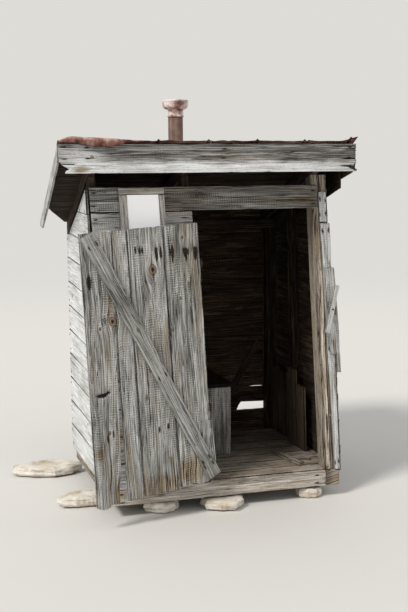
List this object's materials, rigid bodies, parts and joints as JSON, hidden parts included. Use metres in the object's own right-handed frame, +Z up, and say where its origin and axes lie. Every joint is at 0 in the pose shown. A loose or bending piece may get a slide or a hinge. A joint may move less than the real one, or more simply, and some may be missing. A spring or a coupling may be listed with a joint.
{
  "type": "wooden outhouse",
  "caption": "Small leaning board privy with a lean-to tin roof, vent pipe, bench seat and a diagonally braced plank door that stands open, on flat field stones.",
  "frame": {"origin": "on the ground, under the middle of the whole model's bounding box with the door open", "axes": "+Z up; +X to the right along the doorway front, seen from outside; +Y from the front to the back"},
  "size_m": [2.1776, 1.8456, 2.606],
  "materials": {
    "bleached_board": "pale, sun-bleached board with split ends",
    "field_stone": "pale rough field stone",
    "galvanised_cap": "rust-stained galvanised hood",
    "inner_wood": "brown unpainted sawn wood",
    "roof_timber": "brown sawn roof timber",
    "rusted_pipe": "brown rusted steel pipe",
    "rusted_tin": "rusted galvanised roofing sheet",
    "rusty_iron": "rusty hand-forged iron",
    "weathered_board": "silver-grey weathered pine boards",
    "white_panel": "plain white enamelled sheet"
  },
  "bodies": {
    "hut": {"back_left_footing_stone": "field_stone", "back_left_post": "inner_wood", "back_plate": "roof_timber", "back_right_footing_stone": "field_stone", "back_right_post": "inner_wood", "back_wall_boards": "weathered_board", "back_wall_brace": "inner_wood", "blank_panel": "white_panel", "button_block": "weathered_board", "button_nail": "rusty_iron", "door_jamb_post": "inner_wood", "eave_boards": "weathered_board", "floor_boards": "weathered_board", "floor_joists": "inner_wood", "front_fascia": "bleached_board", "front_footing_stones": "field_stone", "front_header_board": "weathered_board", "front_left_post": "inner_wood", "front_right_post": "inner_wood", "front_rim_board": "weathered_board", "front_wall_boards": "weathered_board", "hinge_pintles": "rusty_iron", "latch_board": "weathered_board", "left_barge_board": "bleached_board", "left_footing_stone": "field_stone", "left_wall_boards": "weathered_board", "left_wall_stud": "inner_wood", "panel_casing": "weathered_board", "rafters": "roof_timber", "right_barge_board": "weathered_board", "right_corner_boards": "weathered_board", "right_wall_boards": "weathered_board", "right_wall_lining": "inner_wood", "right_wall_stud": "inner_wood", "roof_boards": "roof_timber", "roof_tin": "rusted_tin", "seat_end": "inner_wood", "seat_front": "inner_wood", "seat_top": "inner_wood", "side_sills": "weathered_board", "vent_cap": "galvanised_cap", "vent_pipe": "rusted_pipe"},
    "door": {"door_planks": "weathered_board", "door_brace": "weathered_board", "door_straps": "rusty_iron"},
    "button": {"turn_button": "weathered_board"}
  },
  "joints": [
    {"name": "door_hinge", "type": "hinge", "parent": "hut", "child": "door", "pos_m": [0.04071, -0.73516, 0.2], "axis": [-0.0575, 0, 0.9983], "range_deg": [-6, 169.5]},
    {"name": "button_turn", "type": "hinge", "parent": "hut", "child": "button", "pos_m": [0.82635, -0.73516, 1.248], "axis": [0, 1, 0], "range_deg": [-102.2, 77.8]}
  ]
}
